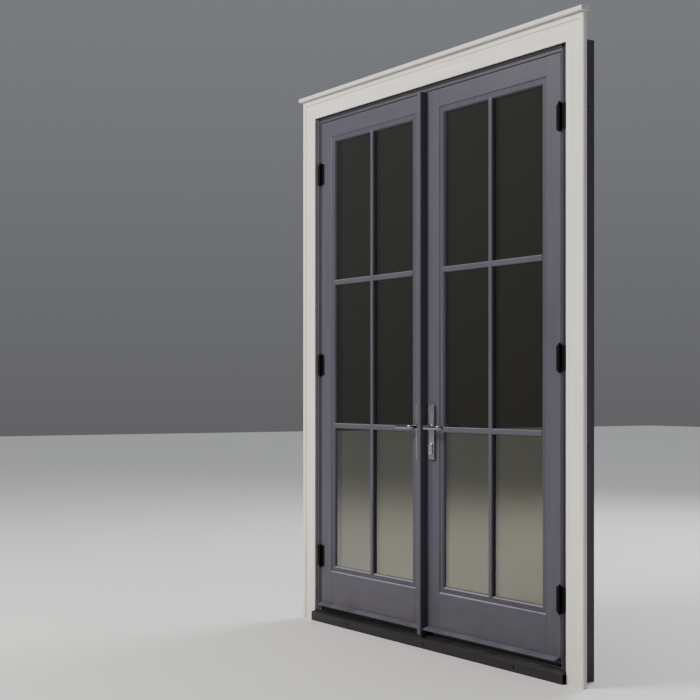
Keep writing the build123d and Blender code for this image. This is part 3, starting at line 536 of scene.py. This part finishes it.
def glazing_bar(shape, sx, start, end, across, face_y, into, start_reach=onto_bead, end_reach=onto_bead):
    """Chamfered bar between two places, each end shaped to what it meets."""
    half, top = BAR / 2, BAR / 2 - BAR_CHAMFER
    depths = (BAR_CHAMFER, SLOPE_TOP, SLOPE_FOOT, BAR_DEPTH)
    section = [(-top, 0), (top, 0)] + [(half, d) for d in depths] + [(-half, d) for d in depths[::-1]]
    along = (end - start).normalized()
    rings = []
    for place, outward, reach in ((start, -1, start_reach), (end, 1, end_reach)):
        ring = []
        for offset, depth in section:
            point = place + along * outward * reach(depth) + across * offset
            ring.append(shape.verts.new(Vector((sx * point.x, face_y + into * depth, point.z)) * MM))
        rings.append(ring)
    count = len(section)
    for i in range(count):
        j = (i + 1) % count
        shape.faces.new((rings[0][i], rings[0][j], rings[1][j], rings[1][i]))
    above_bead, in_front_of_glass = (0, 1, 2, 3, 8, 9), (3, 4, 5, 6, 7, 8)
    for ring in rings:
        for face in (above_bead, in_front_of_glass):
            shape.faces.new([ring[i] for i in face])


def lite_grid(sx):
    """The upright bar and two cross bars, outside and inside."""
    middle = (LITE_X[0] + LITE_X[1]) / 2
    pitch = (LITE_Z[1] - LITE_Z[0] + BAR) / 3

    def build(shape):
        for face_y, into in ((LEAF_FRONT_Y, 1), (LEAF_BACK_Y, -1)):
            glazing_bar(shape, sx, Vector((middle, 0, LITE_Z[0])), Vector((middle, 0, LITE_Z[1])),
                        Vector((1, 0, 0)), face_y, into)
            for row in (1, 2):
                z = LITE_Z[0] + row * pitch - BAR / 2
                glazing_bar(shape, sx, Vector((LITE_X[0], 0, z)), Vector((middle - BAR / 2, 0, z)),
                            Vector((0, 0, 1)), face_y, into, end_reach=onto_bar)
                glazing_bar(shape, sx, Vector((middle + BAR / 2, 0, z)), Vector((LITE_X[1], 0, z)),
                            Vector((0, 0, 1)), face_y, into, start_reach=onto_bar)
    return build


for side, sx in SIDES:
    made = piece_from(side + "_lite_grid", lite_grid(sx), bar_paint, side + "_leaf")
    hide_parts(side + "_glazing_bars")


def rounded_plate(shape, x, z, width, height, thickness):
    """Thin plate on the front faces with round corners and an eased rim."""
    corner, eased, sunk = 4.0, 0.7, 0.1
    loops = []
    for level, inset in ((-sunk, 0.0), (thickness - eased, 0.0), (thickness, eased)):
        reach = corner - inset
        loop = []
        for sx, sz, start in ((1, 1, 0), (-1, 1, 90), (-1, -1, 180), (1, -1, 270)):
            for step in range(6):
                turn = math.radians(start + step * 18)
                loop.append(Vector((x + sx * (width / 2 - corner) + math.cos(turn) * reach, -level,
                                    z + sz * (height / 2 - corner) + math.sin(turn) * reach)) * MM)
        loops.append(loop)
    skin(shape, loops)


def hinge_wings(span, signs):
    """The hinge's wings on the front faces, each with three screws."""
    x0, x1 = span
    middle, height, thickness, pitch = (x0 + x1) / 2, 100.0, 2.4, 34.0

    def build(shape):
        for sx in signs:
            for z in HINGE_HEIGHTS:
                rounded_plate(shape, sx * middle, z, x1 - x0, height, thickness)
                for dz in (-pitch, 0, pitch):
                    screw_head(shape, (sx * middle, -thickness, z + dz), (0, -1, 0), 3.4)
    return build


piece_from("jamb_hinge_wings", hinge_wings(JAMB_WING_X, (1, -1)), by_slot["hinge_black"], "frame")
for side, sx in SIDES:
    piece_from(side + "_leaf_hinge_wings", hinge_wings(LEAF_WING_X, (sx,)), by_slot["hinge_black"],
               side + "_leaf")


def reveal_seal_and_shade(shape):
    """Black strips on the faces of the jambs beside and over the leaves: a seal that also paints the
    shadow line beside the casing.
    """
    inner, wide, upright_top = 897.0, 15.0, 2438.0
    over, tall, stand = 2426.0, 14.0, 1.6
    for sx in (1, -1):
        prism(shape, (sx * inner, 0, FRAME_FOOT), (sx * inner, 0, upright_top),
              [(0, 0, 0), (sx * wide, 0, 0), (sx * (wide - 2), -stand, 0), (sx * 2, -stand, 0)])
    prism(shape, (-inner - wide, 0, over), (inner + wide, 0, over),
          [(0, 0, 0), (0, 0, tall), (0, -stand, tall - 2), (0, -stand, 2)])


piece_from("reveal_seal_and_shade", reveal_seal_and_shade, by_slot["seal_rubber"], "frame")


# The lever's path, from its axis along the leaf and from the leaf's face outwards
BEND, LEVER_LENGTH, STRAIGHT_PARTS = 16.0, 118.0, 7
NECK_END, GRIP_OUT, TIP_OUT = 41.0, 57.0, 37.0
NECK_RADIUS, GRIP_THICK, ROUNDNESS = 8.0, 5.0, 0.78


def lever_path(plate):
    """Places along the lever's middle line, each as how far along and how far out."""
    turns = [math.radians(a) for a in range(12, 91, 13)]
    straight = LEVER_LENGTH - 2 * BEND
    path = [(0.0, plate - 1.0), (0.0, plate + 8.0), (0.0, 34.0), (0.0, NECK_END)]
    path += [(BEND - BEND * math.cos(t), NECK_END + BEND * math.sin(t)) for t in turns]
    path += [(BEND + i * straight / STRAIGHT_PARTS, GRIP_OUT) for i in range(1, STRAIGHT_PARTS + 1)]
    path += [(BEND + straight + BEND * math.sin(t), NECK_END + BEND * math.cos(t)) for t in turns]
    return path + [(LEVER_LENGTH, TIP_OUT + step) for step in (1.6, 0.4, 0.0)]


def lofted_lever(shape, sx, axis_x, face, plate, out):
    """Cast lever: round neck, flattening grip that tapers, and a return towards the leaf."""
    path = lever_path(plate)
    ends = [1.0] * (len(path) - 2) + [0.86, 0.5]
    loops = []
    for i, (u, w) in enumerate(path):
        before, after = path[max(i - 1, 0)], path[min(i + 1, len(path) - 1)]
        along = Vector((after[0] - before[0], after[1] - before[1])).normalized()
        share = i / (len(path) - 1)
        soft = min(max((share - 0.1) / 0.3, 0.0), 1.0)
        soft = soft * soft * (3 - 2 * soft)
        thick = (NECK_RADIUS + (GRIP_THICK - NECK_RADIUS) * soft - 0.6 * share) * ends[i]
        tall = (NECK_RADIUS + 0.8 * soft - 2.6 * max(share - 0.4, 0.0)) * ends[i]
        loop = []
        for t in full_turn(28):
            c, d = math.cos(t), math.sin(t)
            across = math.copysign(abs(c) ** ROUNDNESS, c) * thick
            up = math.copysign(abs(d) ** ROUNDNESS, d) * tall
            loop.append(Vector((sx * (axis_x + u - along[1] * across),
                                face + out * (w + along[0] * across), LEVER_Z + up)) * MM)
        loops.append(loop)
    skin(shape, loops)
    rose = []
    for radius, height in ((14.0, 0.05), (14.0, 2.6), (13.5, 3.6), (12.6, 4.2), (9.6, 4.6)):
        y = face + out * (plate + height)
        rose.append([Vector((sx * axis_x + math.cos(t) * radius, y, LEVER_Z + math.sin(t) * radius)) * MM
                     for t in full_turn(40)])
    skin(shape, rose)


def both_levers(sx):
    """The outer and the inner lever of a leaf, standing on its plates."""
    axis_x = ACTIVE_LEVER_X if sx > 0 else PASSIVE_LEVER_X

    def build(shape):
        lofted_lever(shape, sx, axis_x, LEAF_FRONT_Y, PLATE_OUTER, -1)
        lofted_lever(shape, sx, axis_x, LEAF_BACK_Y, PLATE_INNER, 1)
    return build


for side, sx in SIDES:
    made = piece_from(side + "_cast_levers", both_levers(sx), by_slot["lever_metal"], side + "_lever",
                      smooth=True)
    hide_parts(side + "_levers")


def domed_collar(shape):
    """Oval collar with a rolled rim round the cylinder's outer end."""
    collar_radius, half_straight, steps = 15.0, 13.0, 16
    loops = []
    for inset, level in ((0.0, 0.0), (0.0, 3.4), (0.8, 5.6), (2.4, 7.2), (4.4, 8.0)):
        radius = collar_radius - inset
        loop = []
        for start, middle in ((0, half_straight), (180, -half_straight)):
            for step in range(steps + 1):
                t = math.radians(start + step * 180 / steps)
                loop.append(Vector((ACTIVE_LEVER_X + math.cos(t) * radius, -PLATE_OUTER - level,
                                    CYLINDER_Z + middle + math.sin(t) * radius)) * MM)
        loops.append(loop)
    skin(shape, loops)


made = piece_from("rolled_collar", domed_collar, by_slot["lock_furniture"], "right_leaf",
                  smooth=True)
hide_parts("cylinder_collar")


def casing_joint_shade(shape):
    """Dark sealant in the corner between the jamb and the casing, which also paints the contact shadow
    there.
    """
    wide, stand = 4.0, 3.0
    for sx in (1, -1):
        prism(shape, (sx * CASING_X, 0, FRAME_FOOT), (sx * CASING_X, 0, CASING_Z),
              [(0, 0, 0), (-sx * wide, 0, 0), (0, -stand, 0)])
    prism(shape, (-CASING_X, 0, CASING_Z), (CASING_X, 0, CASING_Z),
          [(0, 0, 0), (0, 0, -wide), (0, -stand, 0)])


piece_from("casing_joint_shade", casing_joint_shade, by_slot["seal_rubber"], "frame")


def sill_ribs(shape):
    """Tread ribs along the sill's sloping nose."""
    nose_y, nose_z, rise, first_y, pitch, inset = -28.0, 44.0, 8.0, -25.0, 4.6, 6.0
    for i in range(5):
        y = first_y + i * pitch
        z = nose_z + (y - nose_y) * rise / -nose_y
        prism(shape, (-CASING_X + inset, y, z), (CASING_X - inset, y, z),
              [(0, -1.1, -0.6), (0, 1.1, -0.1), (0, 0.5, 0.9), (0, -0.5, 0.7)])


def weep_covers(shape):
    """Hooded covers over the drain slots in the sill's front."""
    sill_front, slot_z, half_width = -32.0, 22.0, 19.0
    for x in (-620.0, 0.0, 620.0):
        prism(shape, (x - half_width, sill_front, slot_z), (x + half_width, sill_front, slot_z),
              [(0, 0.2, -8), (0, 0.2, 8), (0, -0.9, 7.4), (0, -2.8, -3.0), (0, -2.8, -7.4), (0, -2.0, -8)])


piece_from("sill_ribs", sill_ribs, by_slot["sill_metal"], "frame")
piece_from("weep_covers", weep_covers, by_slot["sill_metal"], "frame")


# Floor, light and camera

floor_material, floor_tree, floor_shader = new_material("studio_floor")
FLOOR_TONES = (0.6, 0.59, 0.57), (0.64, 0.63, 0.61)
floor_tone = blend(floor_tree, noise(floor_tree, (1.1, 1.1, 1.1)), *FLOOR_TONES)
floor_tree.links.new(floor_tone, floor_shader.inputs["Base Color"])
floor_shader.inputs["Roughness"].default_value = 0.6
bpy.ops.mesh.primitive_plane_add(size=60)
floor = bpy.context.object
floor.name = "studio_floor"
floor.data.materials.append(floor_material)

world = bpy.data.worlds.new("studio")
bpy.context.scene.world = world
world.use_nodes = True
sky = world.node_tree
HORIZON_TONE, MIDDLE_TONE, ZENITH_TONE = (0.16, 0.16, 0.165), (0.32, 0.335, 0.36), (1.5, 1.55, 1.62)
SHADE_TONE = (0.03, 0.03, 0.033)
direction = add(sky, "ShaderNodeTexCoord")
toward = add(sky, "ShaderNodeSeparateXYZ", {0: direction.outputs["Generated"]})
up, right = toward.outputs["Z"], toward.outputs["X"]
tone = blend(sky, spread(sky, up, 0.0, 1.0, -0.05, 0.45), HORIZON_TONE, MIDDLE_TONE)
tone = blend(sky, spread(sky, up, 0.0, 1.0, 0.45, 0.95), tone, ZENITH_TONE)
tone = blend(sky, spread(sky, right, 1.0, 0.4, 0.0, 0.7), SHADE_TONE, tone)
sky.links.new(tone, sky.nodes["Background"].inputs["Color"])
sky.nodes["Background"].inputs["Strength"].default_value = 0.75


def area_light(name, place, target, size, power, colour):
    """Softbox at a place, turned to a target."""
    light = bpy.data.lights.new(name, "AREA")
    light.shape = "RECTANGLE"
    light.size, light.size_y = size
    light.energy = power
    light.color = colour
    lamp = bpy.data.objects.new(name, light)
    lamp.location = place
    lamp.rotation_euler = (Vector(target) - Vector(place)).to_track_quat("-Z", "Y").to_euler()
    bpy.context.scene.collection.objects.link(lamp)


area_light("key", (-1.9, -6.4, 5.5), (0.0, 0.0, 1.0), (3.8, 2.8), 900, (1.0, 0.965, 0.92))
area_light("back", (-2.2, 6.4, 5.3), (0.0, 0.1, 1.1), (3.8, 2.6), 620, (0.95, 0.97, 1.0))

# Solved from the photo's perspective
lens = bpy.data.cameras.new("camera")
lens.sensor_width = 36.0
lens.lens = 75.176
lens.shift_y = 0.0593
camera = bpy.data.objects.new("camera", lens)
camera.location = (5.196, -3.657, 1.112)
camera.rotation_euler = (math.radians(90), 0.0, math.radians(57.881))
bpy.context.scene.collection.objects.link(camera)
bpy.context.scene.camera = camera
